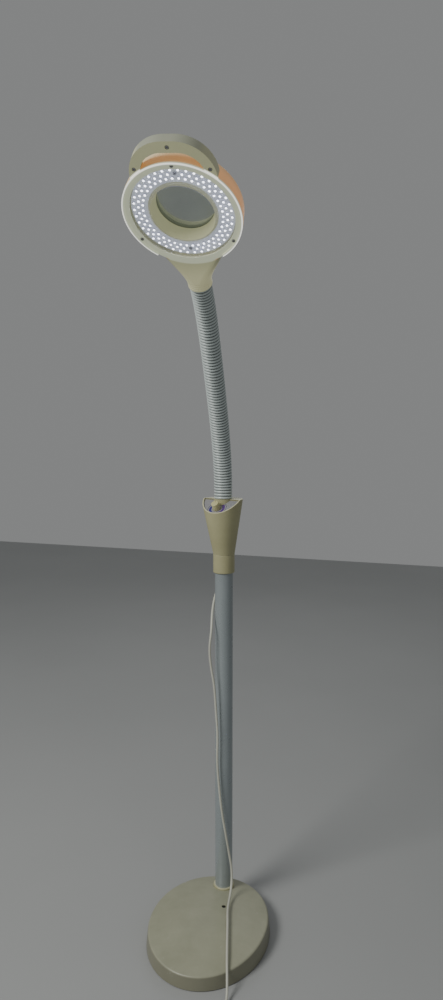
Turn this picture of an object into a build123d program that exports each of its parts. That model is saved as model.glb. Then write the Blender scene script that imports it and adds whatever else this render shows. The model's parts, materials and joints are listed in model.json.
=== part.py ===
from build123d import *
import os
from math import cos, degrees, dist, pi, radians, sin, tan

# A floor-standing ring-light magnifier: oval weighted base, steel pole, control box with a
# dimmer, corrugated gooseneck and a round head with a lens, a ring of LEDs and a carry handle.
# Millimetres, +Z up. The origin is the centre of the base on the floor and -Y is its front.

os.makedirs("parts", exist_ok=True)

# ---------------------------------------------------------------- driving dimensions
# Base
base_half_width = 125.0
base_half_length = 152.0
dome_height = 46.0          # top of the dome over the floor
dome_radius = 600.0
cover_gap = 1.5             # the cover stops short of the floor
cover_wall = 2.5
cover_draft = 6.0           # how far the side leans in over draft_height
draft_height = 60.0
cover_rim_round = 4.5
pad_thickness = 3.0
weight_top = 24.0
weight_inset = 8.0

# Pole, standing behind the middle of the base
pole_back = 107.0
pole_radius = 19.0
pole_wall = 1.5
pole_foot = 12.0
pole_top = 800.0
pole_ring_radius = 22.5
pole_ring_top = 43.0

# Control box
box_turn = -12.5            # degrees about the pole, so its panel faces a little to one side
collar_bottom = 746.0
box_bottom = 785.0
box_top = 902.0
box_foot_radius = 22.4
box_top_radius = 43.3
box_lean = 8.0              # the top circle stands this far in front of the pole
box_wall = 2.5
top_plate = 3.0
panel_slope = 37.0          # degrees down towards the front
panel_edge = 9.7            # where the sloping panel starts, in front of the pole
panel_recess = 2.5
panel_thickness = 1.6
neck_boss_radius = 19.4
knob_radius = 8.5
knob_height = 15.0
knob_reach = 26.8           # knob axis from the panel's upper edge, down the slope
shaft_radius = 3.0

# Gooseneck
neck_forward = 3.0          # its foot stands this far in front of the pole
neck_turn = 8.1             # degrees about the pole, the side it is bent towards
links = 12
ridges_per_link = 6
ridge_pitch = 6.27
end_ridges = 2              # ridges on the fixed stub at each end
sleeve_radius = 19.0
groove_radius = 16.8
sleeve_bore = 15.8
lean_curve = (2.99, -4.97, 2.96)   # lean from upright along the chain: a t + b t^2 + c t^3
ball_radius = 12.0
ball_clearance = 0.06
core_radius = 15.5
cup_radius = 14.6
core_waist = 9.0
wire_bore = 6.0
mouth_reach = 4.0           # a socket's mouth beyond its ball's centre
shoulder = 7.6              # where the next core widens again, from its ball's centre
socket_depth = 12.5

# Head. Its own frame: z out of the light side, y along the neck towards the handle
head_roll = -4.6            # degrees the head is twisted on the neck
head_reach = 150.7          # neck's end to the middle of the ring
axis_depth = 20.0           # neck axis behind the front rim
head_radius = 90.0
drum_depth = 26.0
head_depth = 46.0
front_depth = 9.0           # parting line between the front and back shells
shell_wall = 2.5
lip_width = 3.0
lip_height = 3.0
flange_thickness = 2.5
flange_inner = 79.0
lens_radius = 47.0
lens_sight_radius = 44.6
lens_front = 28.4           # ledge in front of the lens, behind the front rim
lens_rim = 2.6
lens_bulge = 3.4
handle_half_width = 63.0
handle_top = 121.8
handle_corner = 56.0
grip_half_width = 47.0
grip_top = 104.8
grip_corner = 36.0
handle_front = 1.0
handle_back = 20.0
led_rows = (60.0, 66.7, 73.3)
leds_per_row = 40
led_radius = 2.5

# Mains cord
cord_radius = 2.5
coil_radius = 28.0          # middle of its turns
coil_half_width = 8.0
coil_height = 10.5
coil_centre = (110.0, -207.0)
cord_tail = 40.0            # from the coil's last turn to the plug


def finish(piece, name):
    """Label a finished piece and write it."""
    piece.part.label = name
    export_step(piece.part, f"parts/{name}.step")


def turned(turn):
    """A level frame on the pole's axis at the floor, turned about the pole."""
    across = (cos(radians(turn)), sin(radians(turn)), 0)
    return Plane(origin=(0, pole_back, 0), x_dir=across, z_dir=(0, 0, 1))


def leaned(frame, across, back, up, lean):
    """A plane at a place in a frame, its normal leaned towards the frame's front."""
    place = frame.origin + frame.x_dir * across + frame.y_dir * back + frame.z_dir * up
    normal = frame.z_dir * cos(radians(lean)) - frame.y_dir * sin(radians(lean))
    return Plane(origin=place, x_dir=frame.x_dir, z_dir=normal)


def placed(plane, across, along, up):
    """The same plane moved by local distances."""
    place = plane.origin + plane.x_dir * across + plane.y_dir * along + plane.z_dir * up
    return Plane(origin=place, x_dir=plane.x_dir, z_dir=plane.z_dir)


def turned_solid(plane, outline):
    """A solid turned about a plane's normal, from (radius, height) corners."""
    with BuildPart() as solid:
        with BuildSketch(Plane(origin=plane.origin, x_dir=plane.x_dir, z_dir=-plane.y_dir)):
            with BuildLine():
                Polyline(*outline, close=True)
            make_face()
        revolve(axis=Axis(plane.origin, plane.z_dir))
    return solid


def screw(plane, head_radius, head_height, shank_radius, length):
    """A cross-head screw, its head standing on the plane and its shank going down from it."""
    with BuildPart(plane) as made:
        Cylinder(head_radius, head_height, align=(Align.CENTER, Align.CENTER, Align.MIN))
        chamfer(made.faces().sort_by(Axis(plane.origin, plane.z_dir))[-1].edges(), 0.3 * head_height)
        Cylinder(shank_radius, length, align=(Align.CENTER, Align.CENTER, Align.MAX))
        with Locations((0, 0, head_height)):
            Box(head_radius, 0.25 * head_radius, head_height, mode=Mode.SUBTRACT)
            Box(0.25 * head_radius, head_radius, head_height, mode=Mode.SUBTRACT)
    return made


# ================================================================ base
cover_screw_place = (23.0, 31.0)
cover_screw_depth = 5.0     # the screw's seat under the dome's top
boss_radius = 8.0
bolt_radius = 5.0
bolt_head_radius = 8.5
bolt_head_top = 8.5
screw_hole_depth = 12.0
screw_hole_radius = 2.0


def oval_dome(inset, bottom):
    """A solid oval with leaning sides under a shallow dome, inset all round."""
    with BuildPart() as dome:
        with BuildSketch(Plane.XY.offset(bottom)):
            Ellipse(base_half_width - inset, base_half_length - inset)
        with BuildSketch(Plane.XY.offset(bottom + draft_height)):
            Ellipse(base_half_width - inset - cover_draft, base_half_length - inset - cover_draft)
        loft(ruled=True)
        with Locations((0, 0, dome_height - inset - dome_radius)):
            Sphere(dome_radius, mode=Mode.INTERSECT)
    return dome


with BuildPart() as base_cover:
    add(oval_dome(0, cover_gap).part)
    rim = base_cover.edges().filter_by_position(Axis.Z, 15, 42).filter_by(GeomType.BSPLINE)
    fillet(rim, cover_rim_round)
    add(oval_dome(cover_wall, cover_gap - 1).part, mode=Mode.SUBTRACT)
    # boss for the screw that holds the cover to the weight
    with BuildSketch(Plane.XY.offset(weight_top)):
        with Locations(cover_screw_place):
            Circle(boss_radius)
    extrude(amount=dome_height - weight_top - cover_wall - 1)
    with Locations((0, pole_back, 0)):
        Cylinder(pole_ring_radius, 3 * dome_height, mode=Mode.SUBTRACT)
    with Locations((*cover_screw_place, dome_height - cover_screw_depth)):
        Cylinder(4.5, 20, align=(Align.CENTER, Align.CENTER, Align.MIN), mode=Mode.SUBTRACT)
    with Locations((*cover_screw_place, 0)):
        Cylinder(2.2, 3 * dome_height, mode=Mode.SUBTRACT)
finish(base_cover, "base_cover")

with BuildPart() as base_weight:
    with BuildSketch(Plane.XY.offset(pad_thickness)):
        Ellipse(base_half_width - weight_inset, base_half_length - weight_inset)
    extrude(amount=weight_top - pad_thickness)
    chamfer(base_weight.edges().group_by(Axis.Z)[-1], 2)
    with Locations((0, pole_back, pole_foot)):
        Cylinder(pole_radius, 20, align=(Align.CENTER, Align.CENTER, Align.MIN), mode=Mode.SUBTRACT)
    with Locations((0, pole_back, 0)):
        Cylinder(bolt_radius + 0.5, 40, mode=Mode.SUBTRACT)
        Cylinder(bolt_head_radius + 1, 2 * bolt_head_top, mode=Mode.SUBTRACT)
    with Locations((*cover_screw_place, weight_top - screw_hole_depth)):
        Cylinder(
            screw_hole_radius, 20, align=(Align.CENTER, Align.CENTER, Align.MIN), mode=Mode.SUBTRACT
        )
finish(base_weight, "base_weight")

with BuildPart() as base_pad:
    with BuildSketch():
        Ellipse(base_half_width - weight_inset, base_half_length - weight_inset)
    extrude(amount=pad_thickness)
finish(base_pad, "base_pad")

cover_screw_seat = Plane(origin=(*cover_screw_place, dome_height - cover_screw_depth))
cover_screw_length = dome_height - cover_screw_depth - weight_top + screw_hole_depth - 1
cover_screw = screw(cover_screw_seat, 4.0, 2.4, screw_hole_radius, cover_screw_length)
finish(cover_screw, "cover_screw")

# ================================================================ pole
pole_frame = turned(0)
pole_inner = pole_radius - pole_wall
plug_length = 18.0

pole_ring = turned_solid(
    pole_frame,
    [
        (pole_radius, weight_top), (pole_ring_radius, weight_top),
        (pole_ring_radius, pole_ring_top - 1.5), (pole_ring_radius - 1.2, pole_ring_top),
        (pole_radius, pole_ring_top),
    ],
)
finish(pole_ring, "pole_ring")

pole = turned_solid(
    pole_frame,
    [(pole_inner, pole_foot), (pole_radius, pole_foot), (pole_radius, pole_top), (pole_inner, pole_top)],
)
finish(pole, "pole")

pole_plug = turned_solid(
    pole_frame,
    [
        (bolt_radius, pole_foot), (pole_inner, pole_foot),
        (pole_inner, pole_foot + plug_length), (bolt_radius, pole_foot + plug_length),
    ],
)
finish(pole_plug, "pole_plug")

with BuildPart() as pole_bolt:
    with BuildSketch(Plane(origin=(0, pole_back, pad_thickness + 0.3))):
        RegularPolygon(bolt_head_radius, 6)
    extrude(amount=bolt_head_top - pad_thickness - 0.3)
    with Locations((0, pole_back, bolt_head_top)):
        Cylinder(bolt_radius, 26, align=(Align.CENTER, Align.CENTER, Align.MIN))
finish(pole_bolt, "pole_bolt")

# ================================================================ control box
box = turned(box_turn)
shell_floor = 3.0

collar = turned_solid(
    box,
    [
        (pole_radius, collar_bottom), (pole_ring_radius - 0.8, collar_bottom),
        (pole_ring_radius, collar_bottom + 1), (pole_ring_radius, box_bottom - 1),
        (pole_ring_radius - 0.8, box_bottom), (pole_radius, box_bottom),
    ],
)
collar_screw_plane = Plane(
    origin=box.origin + box.y_dir * pole_ring_radius + box.z_dir * (collar_bottom + 20),
    x_dir=box.x_dir, z_dir=box.y_dir,
)
with BuildPart() as screw_collar:
    add(collar.part)
    with Locations(collar_screw_plane):
        Cylinder(2.5, 10, mode=Mode.SUBTRACT)
finish(screw_collar, "collar")

with BuildPart(collar_screw_plane) as collar_screw:
    Cylinder(2.5, pole_ring_radius - pole_radius, align=(Align.CENTER, Align.CENTER, Align.MAX))
    with BuildSketch():
        RegularPolygon(1.4, 6)
    extrude(amount=-2, mode=Mode.SUBTRACT)
finish(collar_screw, "collar_screw")


def funnel(inset, bottom, top):
    """The box's leaning funnel between two heights, inset all round."""
    with BuildPart() as made:
        for height in (bottom, top):
            share = (height - box_bottom) / (box_top - box_bottom)
            radius = box_foot_radius + (box_top_radius - box_foot_radius) * share
            with BuildSketch(leaned(box, 0, -box_lean * share, height, 0)):
                Circle(radius - inset)
        loft(ruled=True)
    return made


# the sloping panel's plane; its y runs up the slope
slope = leaned(box, 0, -panel_edge, box_top, panel_slope)
neck_foot = leaned(box, 0, -neck_forward, 0, 0)
neck_bore = 13.0
cavity = funnel(box_wall, box_bottom + shell_floor, box_top - top_plate)
opening = funnel(box_wall, box_bottom + 60, box_top)
gland_height = 806.0
gland_lean = 50.0
gland_side = 30.0           # degrees round from the back, out of the way of the pole's front
gland_radius = 5.0
boss_depth = 15.5

# the D-shaped recess: everything in front of the panel's edge is open inside the rim
with BuildPart() as recess:
    with BuildSketch(placed(slope, 0, -60, -30)):
        Rectangle(160, 120)
    extrude(amount=90)
    add(opening.part, mode=Mode.INTERSECT)

# where the cord leaves the shell, low on its back
gland_frame = turned(box_turn + gland_side)
gland_wall = box_foot_radius + (box_top_radius - box_foot_radius) * (gland_height - box_bottom) / (
    box_top - box_bottom
)
gland_out = gland_frame.y_dir * cos(radians(gland_lean)) - gland_frame.z_dir * sin(radians(gland_lean))
gland_plane = Plane(
    origin=gland_frame.origin + gland_frame.y_dir * (gland_wall - 1) + gland_frame.z_dir * gland_height,
    x_dir=gland_frame.x_dir, z_dir=gland_out,
)

with BuildPart() as box_shell:
    add(funnel(0, box_bottom, box_top).part)
    fillet(box_shell.edges().group_by(Axis.Z)[-1], 1.2)
    add(cavity.part, mode=Mode.SUBTRACT)
    add(recess.part, mode=Mode.SUBTRACT)
    with BuildSketch(slope):
        Rectangle(200, 200)
    extrude(amount=80, mode=Mode.SUBTRACT)
    # the boss that carries the gooseneck, over the panel
    with BuildSketch(placed(neck_foot, 0, 0, box_top - boss_depth)):
        Circle(neck_boss_radius)
    extrude(amount=boss_depth)
    with BuildSketch(placed(neck_foot, 0, 0, box_top - 60)):
        Circle(neck_bore)
    extrude(amount=80, mode=Mode.SUBTRACT)
    with BuildSketch(placed(box, 0, 0, box_bottom - 1)):
        Circle(pole_radius)
    extrude(amount=10, mode=Mode.SUBTRACT)
    with BuildSketch(placed(gland_plane, 0, 0, -12)):
        Circle(gland_radius)
    extrude(amount=30, mode=Mode.SUBTRACT)
finish(box_shell, "box_shell")

# the silver dial plate, a D with a notch round the gooseneck's boss
knob_plane = placed(slope, 0, -knob_reach, -panel_recess)
with BuildPart() as control_panel:
    with BuildSketch(placed(slope, 0, -60, -panel_recess - panel_thickness)):
        Rectangle(160, 180)
    extrude(amount=panel_thickness)
    add(cavity.part, mode=Mode.INTERSECT)
    with BuildSketch(placed(neck_foot, 0, 0, box_top - 60)):
        Circle(neck_boss_radius)
    extrude(amount=80, mode=Mode.SUBTRACT)
    with BuildSketch(placed(knob_plane, 0, 0, -10)):
        Circle(shaft_radius + 0.5)
    extrude(amount=20, mode=Mode.SUBTRACT)
finish(control_panel, "control_panel")

knob_lift = 0.6             # the knob stands clear of the panel
flutes = 24
with BuildPart(placed(knob_plane, 0, 0, knob_lift)) as knob:
    Cone(knob_radius, knob_radius - 0.8, knob_height, align=(Align.CENTER, Align.CENTER, Align.MIN))
    fillet(knob.faces().sort_by(Axis(slope.origin, slope.z_dir))[-1].edges(), 1.2)
    with PolarLocations(knob_radius + 0.15, flutes):
        Cylinder(0.55, 2 * (knob_height - 2.5), mode=Mode.SUBTRACT)
    with Locations((0, 0.6 * knob_radius, knob_height)):
        Box(1.2, 0.7 * knob_radius, 1.2, mode=Mode.SUBTRACT)
    Cylinder(shaft_radius, 2 * (knob_height - 4), mode=Mode.SUBTRACT)
finish(knob, "knob")

dimmer_depth = 6.0
dimmer_radius = 5.5
dimmer_shaft = turned_solid(
    knob_plane,
    [
        (0, -panel_thickness - dimmer_depth + 1.5), (shaft_radius, -panel_thickness - dimmer_depth + 1.5),
        (shaft_radius, knob_lift + knob_height - 4), (0, knob_lift + knob_height - 4),
    ],
)
finish(dimmer_shaft, "dimmer_shaft")

with BuildPart(placed(knob_plane, 0, 0, -panel_thickness)) as dimmer:
    Cylinder(dimmer_radius, dimmer_depth, align=(Align.CENTER, Align.CENTER, Align.MAX))
    Cylinder(shaft_radius + 0.05, 2 * (dimmer_depth - 1.5), mode=Mode.SUBTRACT)
    with Locations(*[(x, -dimmer_radius - 2, -dimmer_depth / 2) for x in (-3, 0, 3)]):
        Box(1, 8, 1)
finish(dimmer, "dimmer")

with BuildPart() as neck_nut:
    with BuildSketch(placed(neck_foot, 0, 0, box_top - boss_depth - 6)):
        RegularPolygon(16, 6)
        Circle(neck_bore, mode=Mode.SUBTRACT)
    extrude(amount=6)
finish(neck_nut, "neck_nut")

# the LED driver stands upright behind the dimmer
board_plane = Plane(
    origin=box.origin + box.y_dir * 7 + box.z_dir * (box_bottom + 50), x_dir=box.x_dir, z_dir=-box.y_dir
)
with BuildPart(board_plane) as driver_board:
    Box(30, 56, 1.6)
finish(driver_board, "driver_board")

with BuildPart(placed(board_plane, 0, 0, 0.8)) as driver_parts:
    with Locations((0, -12, 0)):
        Box(18, 16, 12, align=(Align.CENTER, Align.CENTER, Align.MIN))
    with Locations((-8, 14, 0), (6, 16, 0)):
        Cylinder(4, 9, align=(Align.CENTER, Align.CENTER, Align.MIN))
    with Locations((9, 3, 0)):
        Box(6, 4, 7, align=(Align.CENTER, Align.CENTER, Align.MIN))
finish(driver_parts, "driver_parts")

gland_length = 28.0
cord_gland = turned_solid(
    gland_plane,
    [
        (0, -6), (gland_radius, -6), (gland_radius, 5), (gland_radius - 1, 6),
        (cord_radius + 0.8, gland_length), (0, gland_length),
    ],
)
finish(cord_gland, "cord_gland")

# ================================================================ gooseneck
# A chain of short links, each a length of corrugated sleeve on a ball-and-socket core. At rest
# the links follow one smooth bend, so each is an arc.
link_length = ridges_per_link * ridge_pitch
stub_length = end_ridges * ridge_pitch
neck = Plane(
    origin=neck_foot.origin + neck_foot.z_dir * box_top, x_dir=turned(neck_turn).x_dir, z_dir=(0, 0, 1)
)


def lean_at(joint):
    """How far the centreline leans from upright at a joint, in radians."""
    share = joint / links
    first, second, third = lean_curve
    return first * share + second * share**2 + third * share**3


neck_joints = [(0.0, stub_length)]      # forward and up of each joint, from the neck's foot
for link in range(links):
    start, end = lean_at(link), lean_at(link + 1)
    bend = link_length / (end - start)
    forward, up = neck_joints[-1]
    neck_joints.append((forward + bend * (cos(start) - cos(end)), up + bend * (sin(end) - sin(start))))


def neck_place(link, share):
    """The plane across the centreline at a share of a link's length."""
    start, end = lean_at(link), lean_at(link + 1)
    bend = link_length / (end - start)
    lean = start + (end - start) * share
    forward = neck_joints[link][0] + bend * (cos(start) - cos(lean))
    up = neck_joints[link][1] + bend * (sin(lean) - sin(start))
    return leaned(neck, 0, -forward, up, degrees(lean))


def bent_tube(link, first, last, outer, inner):
    """A tube along part of a link's arc, between two distances from its lower joint."""
    turn = lean_at(link + 1) - lean_at(link)
    begin = neck_place(link, first / link_length)
    side = Plane(origin=begin.origin, x_dir=-begin.y_dir, z_dir=-begin.x_dir)
    with BuildPart() as tube:
        with BuildLine(side):
            JernArc((0, 0), (0, 1), link_length / turn, -degrees(turn) * (last - first) / link_length)
        with BuildSketch(begin):
            Circle(outer)
            Circle(inner, mode=Mode.SUBTRACT)
        sweep()
    return tube


ridge_half = 1.6
ridge_root = (groove_radius + sleeve_bore) / 2
ridge_cover = 0.6           # the sleeve's wall starts this far from the middle of a ridge
with BuildPart() as ridge:
    with BuildSketch(Plane.XZ):
        with BuildLine():
            Line((ridge_root, ridge_half), (ridge_root, -ridge_half))
            ThreePointArc((ridge_root, -ridge_half), (sleeve_radius, 0), (ridge_root, ridge_half))
        make_face()
    revolve(axis=Axis.Z)

with BuildPart() as ball:
    Sphere(ball_radius)
    Cylinder(core_waist, shoulder + 0.4, align=(Align.CENTER, Align.CENTER, Align.MIN))
    with Locations((0, 0, -0.75 * ball_radius)):
        Cylinder(
            2 * ball_radius, ball_radius, align=(Align.CENTER, Align.CENTER, Align.MAX), mode=Mode.SUBTRACT
        )
    Cylinder(wire_bore, 4 * ball_radius, mode=Mode.SUBTRACT)

with BuildPart() as socket:
    with Locations((0, 0, -socket_depth)):
        Cylinder(cup_radius, socket_depth + mouth_reach, align=(Align.CENTER, Align.CENTER, Align.MIN))
    Sphere(ball_radius + ball_clearance, mode=Mode.SUBTRACT)
    Cylinder(wire_bore, 4 * socket_depth, mode=Mode.SUBTRACT)

for link in range(links):
    with BuildPart() as sleeve:
        crests = [neck_place(link, (n + 0.5) / ridges_per_link) for n in range(ridges_per_link)]
        with Locations(*crests):
            add(ridge.part)
        for lower, upper in zip(crests, crests[1:]):
            span = upper.origin - lower.origin
            with BuildSketch(Plane(origin=lower.origin + span.normalized() * ridge_cover, z_dir=span)):
                Circle(groove_radius)
                Circle(sleeve_bore, mode=Mode.SUBTRACT)
            extrude(amount=span.length - 2 * ridge_cover)
    finish(sleeve, f"sleeve_{link + 1:02d}")

    with BuildPart() as core:
        add(bent_tube(link, shoulder, link_length - socket_depth + 0.4, core_radius, wire_bore).part)
        with Locations(neck_place(link, 0)):
            add(ball.part)
        with Locations(neck_place(link, 1)):
            add(socket.part)
    finish(core, f"core_{link + 1:02d}")

lower_joint = neck_place(0, 0)
upper_joint = neck_place(links - 1, 1)
fitting_length = 34.0

with BuildPart() as neck_fitting:
    with Locations(lower_joint):
        add(socket.part)
    with BuildSketch(placed(neck, 0, 0, -fitting_length)):
        Circle(neck_bore)
        Circle(wire_bore, mode=Mode.SUBTRACT)
    extrude(amount=fitting_length + stub_length - socket_depth + 0.2)
finish(neck_fitting, "neck_fitting")

with BuildPart() as head_fitting:
    with Locations(upper_joint):
        add(ball.part)
    with BuildSketch(placed(upper_joint, 0, 0, shoulder)):
        Circle(core_radius)
        Circle(wire_bore, mode=Mode.SUBTRACT)
    extrude(amount=stub_length - shoulder)
    with BuildSketch(placed(upper_joint, 0, 0, stub_length)):
        Circle(neck_bore)
        Circle(wire_bore, mode=Mode.SUBTRACT)
    extrude(amount=20)
finish(head_fitting, "head_fitting")


def end_sleeve(plane, direction):
    """The fixed ridges at one end of the gooseneck, on the outer side of its end joint."""
    edge = 0.5 * ridge_pitch + ridge_cover
    with BuildPart() as made:
        with BuildSketch(placed(plane, 0, 0, direction * edge)):
            Circle(groove_radius)
            Circle(sleeve_bore, mode=Mode.SUBTRACT)
        extrude(amount=direction * (stub_length - edge))
        crests = [placed(plane, 0, 0, direction * (n + 0.5) * ridge_pitch) for n in range(end_ridges)]
        with Locations(*crests):
            add(ridge.part)
    return made


sleeve_lower = end_sleeve(lower_joint, -1)
finish(sleeve_lower, "sleeve_lower")
sleeve_upper = end_sleeve(upper_joint, 1)
finish(sleeve_upper, "sleeve_upper")


# ================================================================ head
roll = radians(head_roll)
neck_tip = placed(upper_joint, 0, 0, stub_length)
head_out = neck_tip.x_dir * sin(roll) - neck_tip.y_dir * cos(roll)
head = Plane(
    origin=neck_tip.origin + neck_tip.z_dir * head_reach + head_out * axis_depth,
    x_dir=neck_tip.x_dir * cos(roll) + neck_tip.y_dir * sin(roll), z_dir=head_out,
)
# across the neck: distance from the ring's middle, half width, front and back faces
neck_sections = [
    (-58.0, 61.0, -3.0, -28.0), (-87.0, 46.0, -3.0, -31.0), (-110.0, 33.5, -2.5, -34.0),
    (-131.0, 23.5, -1.0, -38.5), (-head_reach, 20.65, 0.4, -40.4),
]
neck_end_wall = 8.0
dome_start = 52.0           # the back is flat inside this radius
dome_reach = 36.5
dome_fall = 20.0
tube_radius = 51.2
handle_screws = [(-54.0, 79.5), (54.0, 79.5), (0.0, 113.0)]
rim_screws = [(84 * cos(radians(turn)), 84 * sin(radians(turn))) for turn in (90, -31.5, -148.5)]
screw_post = 3.6
screw_shank = 1.4
screw_head = 2.8
screw_recess = 1.5


def front_start(inset):
    """How far behind the front rim the handle's outside, or the space inside it, begins."""
    return lip_height + inset if inset else handle_front


def head_shape(inset):
    """The outside of the head, or with an inset the space inside its walls."""
    side = head_radius - inset
    front = -lip_height - inset
    inner_reach = dome_reach - inset
    inner_fall = dome_fall - inset
    with BuildPart() as shape:
        with BuildSketch(Plane(origin=head.origin, x_dir=head.x_dir, z_dir=-head.y_dir)):
            with BuildLine():
                Polyline(
                    (dome_start, -drum_depth - inner_fall), (0, -drum_depth - inner_fall), (0, front),
                    (side, front), (side, -front_depth), (dome_start + inner_reach, -drum_depth),
                )
                EllipticalCenterArc(
                    (dome_start, -drum_depth), inner_reach, inner_fall, start_angle=-90, arc_size=90
                )
            make_face()
        revolve(axis=Axis(head.origin, head.z_dir))
        # the neck, tapering from the full ring to the gooseneck
        for along, half_width, face, back in neck_sections:
            end = along + (neck_end_wall if inset and along == -head_reach else 0)
            middle = placed(head, 0, end, (face + back) / 2)
            with BuildSketch(Plane(origin=middle.origin, x_dir=head.x_dir, z_dir=head.y_dir)):
                SlotOverall(2 * (half_width - inset), face - back - 2 * inset)
        loft()
    with BuildPart() as handle:
        depth = handle_back - inset
        top = handle_top - inset
        with BuildSketch(placed(head, 0, (top - 20) / 2, -depth)):
            RectangleRounded(2 * (handle_half_width - inset), top + 20, handle_corner - inset)
        extrude(amount=depth - front_start(inset))
        back_edges = handle.edges().group_by(Axis(head.origin, head.z_dir))[0]
        fillet(back_edges, 5 - inset / 2)
        with BuildSketch(placed(head, 0, (grip_top + inset - 20) / 2, -2 * handle_back)):
            RectangleRounded(2 * (grip_half_width + inset), grip_top + inset + 20, grip_corner + inset)
        extrude(amount=3 * handle_back, mode=Mode.SUBTRACT)
        with BuildSketch(placed(head, 0, 0, -2 * handle_back)):
            Circle(head_radius - shell_wall / 2)
        extrude(amount=3 * handle_back, mode=Mode.SUBTRACT)
    with BuildPart() as whole:
        add(shape.part)
        add(handle.part)
    return whole


head_outside = head_shape(0)
head_inside = head_shape(shell_wall)

with BuildPart() as head_hollow:
    add(head_outside.part)
    add(head_inside.part, mode=Mode.SUBTRACT)
    # posts for the screws that hold the halves and the light cover
    with BuildSketch(placed(head, 0, 0, -handle_back + 1)):
        with Locations(*handle_screws):
            Circle(screw_post)
    extrude(amount=handle_back - 2.5)
    # the bore the gooseneck's fitting sits in
    with BuildSketch(Plane(origin=neck_tip.origin - neck_tip.z_dir, z_dir=neck_tip.z_dir)):
        Circle(neck_bore)
    extrude(amount=neck_end_wall + 4, mode=Mode.SUBTRACT)

with BuildPart() as head_front:
    add(head_hollow.part)
    with BuildSketch(placed(head, 0, 0, -front_depth)):
        Rectangle(500, 500)
    extrude(amount=-80, mode=Mode.SUBTRACT)
    # raised lip round the ring, left off across the neck
    with BuildSketch(placed(head, 0, 0, -lip_height)):
        Circle(head_radius)
        Circle(head_radius - lip_width, mode=Mode.SUBTRACT)
        with Locations((0, -head_radius)):
            Rectangle(2 * 52, 2 * 20, mode=Mode.SUBTRACT)
    extrude(amount=lip_height)
    with BuildSketch(placed(head, 0, 0, -front_depth)):
        with Locations(*rim_screws):
            Circle(screw_post - 0.6)
    extrude(amount=front_depth - lip_height)
    with BuildSketch(placed(head, 0, 0, -front_depth - 1)):
        Circle(flange_inner)
    extrude(amount=front_depth + 2, mode=Mode.SUBTRACT)
    with BuildSketch(placed(head, 0, 0, -lip_height - flange_thickness)):
        Circle(flange_inner + 1.6)
    extrude(amount=-front_depth, mode=Mode.SUBTRACT)
    with BuildSketch(placed(head, 0, 0, -handle_back)):
        with Locations(*handle_screws, *rim_screws):
            Circle(screw_shank + 0.2)
    extrude(amount=handle_back + 5, mode=Mode.SUBTRACT)
    with BuildSketch(placed(head, 0, 0, -handle_front - screw_recess)):
        with Locations(*handle_screws):
            Circle(screw_head + 0.4)
    extrude(amount=2 * screw_recess, mode=Mode.SUBTRACT)
finish(head_front, "head_front")

lens_tube = [
    (48.8, -7.5), (tube_radius, -7.5), (tube_radius - 1.6, -head_depth + shell_wall), (49.6, -head_depth),
    (lens_radius + 0.05, -head_depth), (lens_radius + 0.05, -lens_front), (lens_sight_radius, -lens_front),
    (lens_sight_radius, -27), (45, -27),
]
board_back = 12.0
board_front = 10.4
board_posts = [(0.0, led_rows[1]), (0.0, -led_rows[1])]
with BuildPart() as head_back:
    add(head_hollow.part)
    with BuildSketch(placed(head, 0, 0, -front_depth)):
        Rectangle(500, 500)
    extrude(amount=60, mode=Mode.SUBTRACT)
    with BuildSketch(placed(head, 0, 0, -head_depth + 3)):
        with Locations(*board_posts):
            Circle(screw_post)
    extrude(amount=head_depth - board_back - 3)
    with BuildSketch(placed(head, 0, 0, -head_depth - 1)):
        Circle(tube_radius - 2)
    extrude(amount=10, mode=Mode.SUBTRACT)
    add(turned_solid(head, lens_tube).part)
    with BuildSketch(placed(head, 0, 0, -handle_back + 2)):
        with Locations(*handle_screws):
            Circle(screw_shank + 0.2)
    extrude(amount=handle_back, mode=Mode.SUBTRACT)
    with BuildSketch(placed(head, 0, 0, -board_back - 12)):
        with Locations(*board_posts):
            Circle(screw_shank + 0.2)
    extrude(amount=20, mode=Mode.SUBTRACT)
finish(head_back, "head_back")

with BuildPart() as led_board:
    with BuildSketch(placed(head, 0, 0, -board_back)):
        Circle(78)
        Circle(53, mode=Mode.SUBTRACT)
        with Locations(*board_posts):
            Circle(screw_shank + 0.2, mode=Mode.SUBTRACT)
    extrude(amount=board_back - board_front)
finish(led_board, "led_board")

# clear domed LEDs in three staggered rings
led_height = 2.4
with BuildPart() as led:
    Cylinder(led_radius, led_height, align=(Align.CENTER, Align.CENTER, Align.MIN))
    fillet(led.faces().sort_by(Axis.Z)[-1].edges(), 1.6)
led_places = []
for row, row_radius in enumerate(led_rows):
    step = 360 / leds_per_row
    for number in range(leds_per_row):
        turn = radians(90 + (number + 0.5 + 0.5 * (row % 2)) * step)
        place = (row_radius * cos(turn), row_radius * sin(turn))
        # no LED where a screw holds the board
        if min(dist(place, post) for post in board_posts) > screw_head + led_radius:
            led_places.append(place)
with BuildPart(placed(head, 0, 0, -board_front)) as leds:
    with Locations(*led_places):
        add(led.part)
finish(leds, "leds")

cover_back = 7.5
led_cover = turned_solid(
    head,
    [
        (48.9, -cover_back), (flange_inner + 1.3, -cover_back),
        (flange_inner + 1.3, -lip_height - flange_thickness), (48.9, -lip_height - flange_thickness),
    ],
)
finish(led_cover, "led_cover")

lens_back = lens_front + lens_rim
bulge_edge = lens_sight_radius - 0.2
face_radius = (bulge_edge**2 + lens_bulge**2) / (2 * lens_bulge)
face_centre = face_radius - lens_bulge - lens_rim / 2
with BuildPart(placed(head, 0, 0, -lens_front - lens_rim / 2)) as lens:
    Cylinder(bulge_edge, lens_rim + 2 * lens_bulge)
    with Locations((0, 0, -face_centre)):
        Sphere(face_radius, mode=Mode.INTERSECT)
    with Locations((0, 0, face_centre)):
        Sphere(face_radius, mode=Mode.INTERSECT)
    Cylinder(lens_radius, lens_rim)
finish(lens, "lens")

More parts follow.
